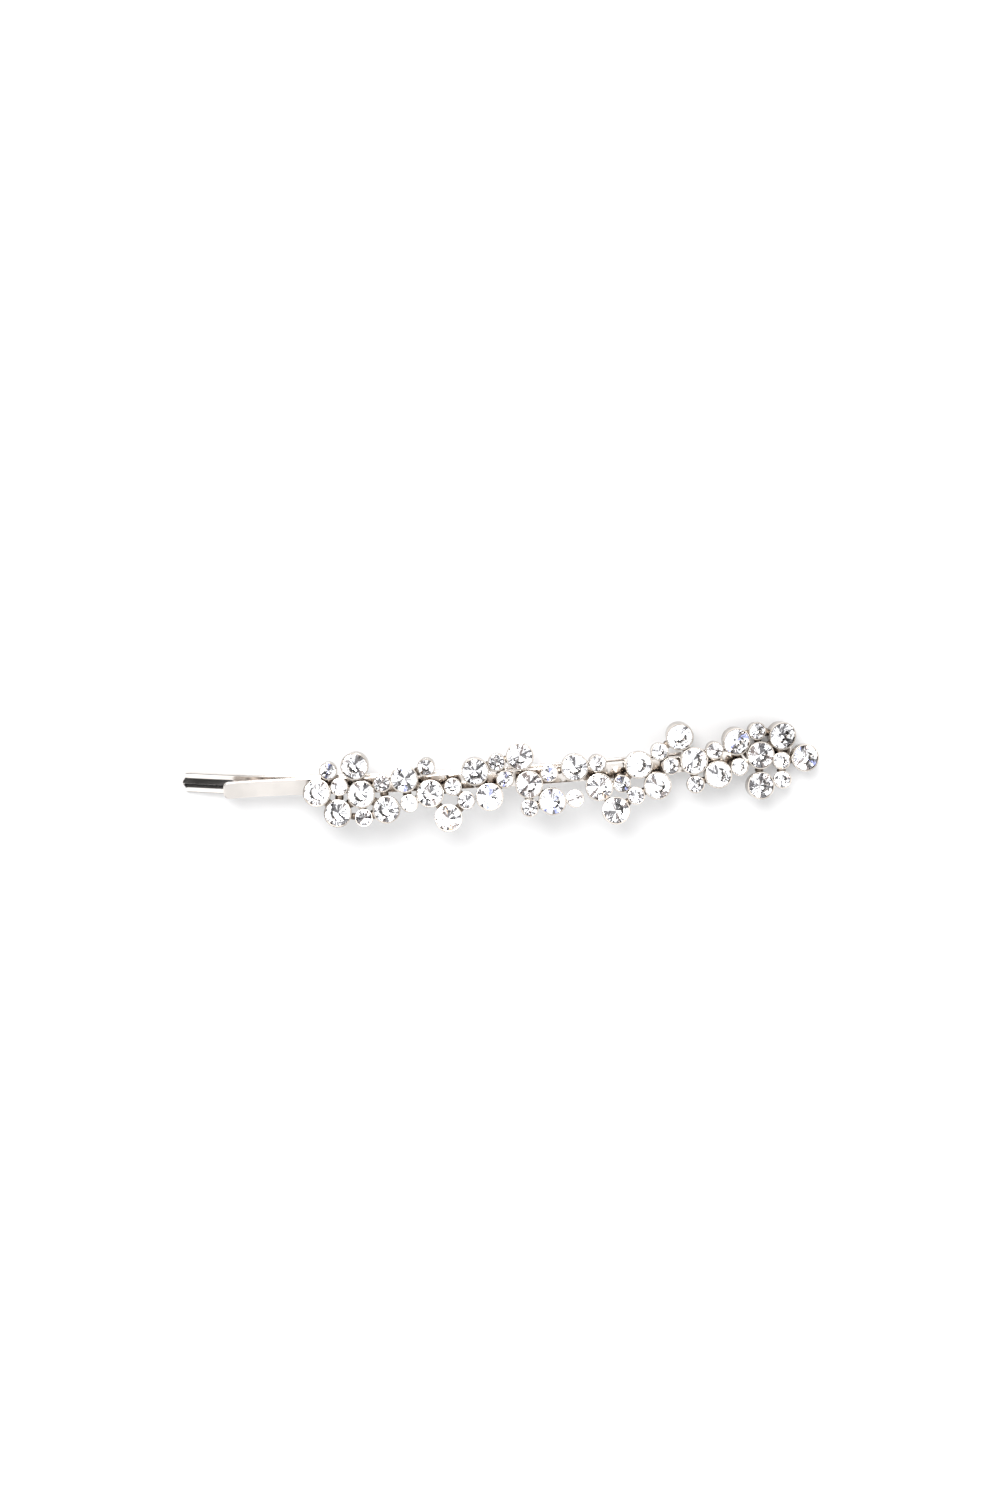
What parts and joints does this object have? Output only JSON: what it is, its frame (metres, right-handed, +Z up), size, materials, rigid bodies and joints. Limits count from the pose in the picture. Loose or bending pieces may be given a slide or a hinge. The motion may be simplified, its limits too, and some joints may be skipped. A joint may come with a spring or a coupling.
{
  "type": "rhinestone hair clip",
  "caption": "Flat sprung hair pin whose front leg carries an uneven cluster of round clear stones in soldered metal cups.",
  "frame": {"origin": "bottom centre of the whole clip, on the surface it lies on", "axes": "+X along the pin towards the fold, +Y across the pin, +Z up out of the stones"},
  "size_m": [0.0682, 0.0104, 0.0086],
  "materials": {
    "polished_steel": "polished, faintly warm, fine scratches",
    "plated_cup": "bright plated, darker solder between the cups",
    "clear_stone": "clear cut glass with a mirrored back"
  },
  "bodies": {
    "back_leg": {"long_leg": "polished_steel", "bow": "polished_steel"},
    "front_leg": {"short_leg": "polished_steel", "stone_setting_1": "plated_cup", "stone_setting_2": "plated_cup", "stone_setting_3": "plated_cup", "stone_setting_4": "plated_cup", "stone_setting_5": "plated_cup", "stone_setting_6": "plated_cup", "stone_setting_7": "plated_cup", "large_stone_01": "clear_stone", "large_stone_02": "clear_stone", "large_stone_03": "clear_stone", "large_stone_04": "clear_stone", "large_stone_05": "clear_stone", "large_stone_06": "clear_stone", "large_stone_07": "clear_stone", "large_stone_08": "clear_stone", "large_stone_09": "clear_stone", "large_stone_10": "clear_stone", "large_stone_11": "clear_stone", "large_stone_12": "clear_stone", "large_stone_13": "clear_stone", "large_stone_14": "clear_stone", "large_stone_15": "clear_stone", "large_stone_16": "clear_stone", "large_stone_17": "clear_stone", "large_stone_18": "clear_stone", "large_stone_19": "clear_stone", "large_stone_20": "clear_stone", "large_stone_21": "clear_stone", "large_stone_22": "clear_stone", "large_stone_23": "clear_stone", "large_stone_24": "clear_stone", "large_stone_25": "clear_stone", "large_stone_26": "clear_stone", "small_stone_01": "clear_stone", "small_stone_02": "clear_stone", "small_stone_03": "clear_stone", "small_stone_04": "clear_stone", "small_stone_05": "clear_stone", "small_stone_06": "clear_stone", "small_stone_07": "clear_stone", "small_stone_08": "clear_stone", "small_stone_09": "clear_stone", "small_stone_10": "clear_stone", "small_stone_11": "clear_stone", "small_stone_12": "clear_stone", "small_stone_13": "clear_stone", "small_stone_14": "clear_stone", "small_stone_15": "clear_stone", "small_stone_16": "clear_stone", "small_stone_17": "clear_stone", "small_stone_18": "clear_stone", "small_stone_19": "clear_stone", "small_stone_20": "clear_stone", "small_stone_21": "clear_stone", "small_stone_22": "clear_stone", "small_stone_23": "clear_stone", "small_stone_24": "clear_stone"}
  },
  "joints": [
    {"name": "leg_opening", "type": "hinge", "parent": "back_leg", "child": "front_leg", "pos_m": [0.0306, 0.00018, 0.00071], "axis": [0, 1, 0], "range_deg": [0, 12], "stiffness_Nm_per_rad": 0.08, "springref_deg": -2.86, "deforming": ["bow"]}
  ]
}
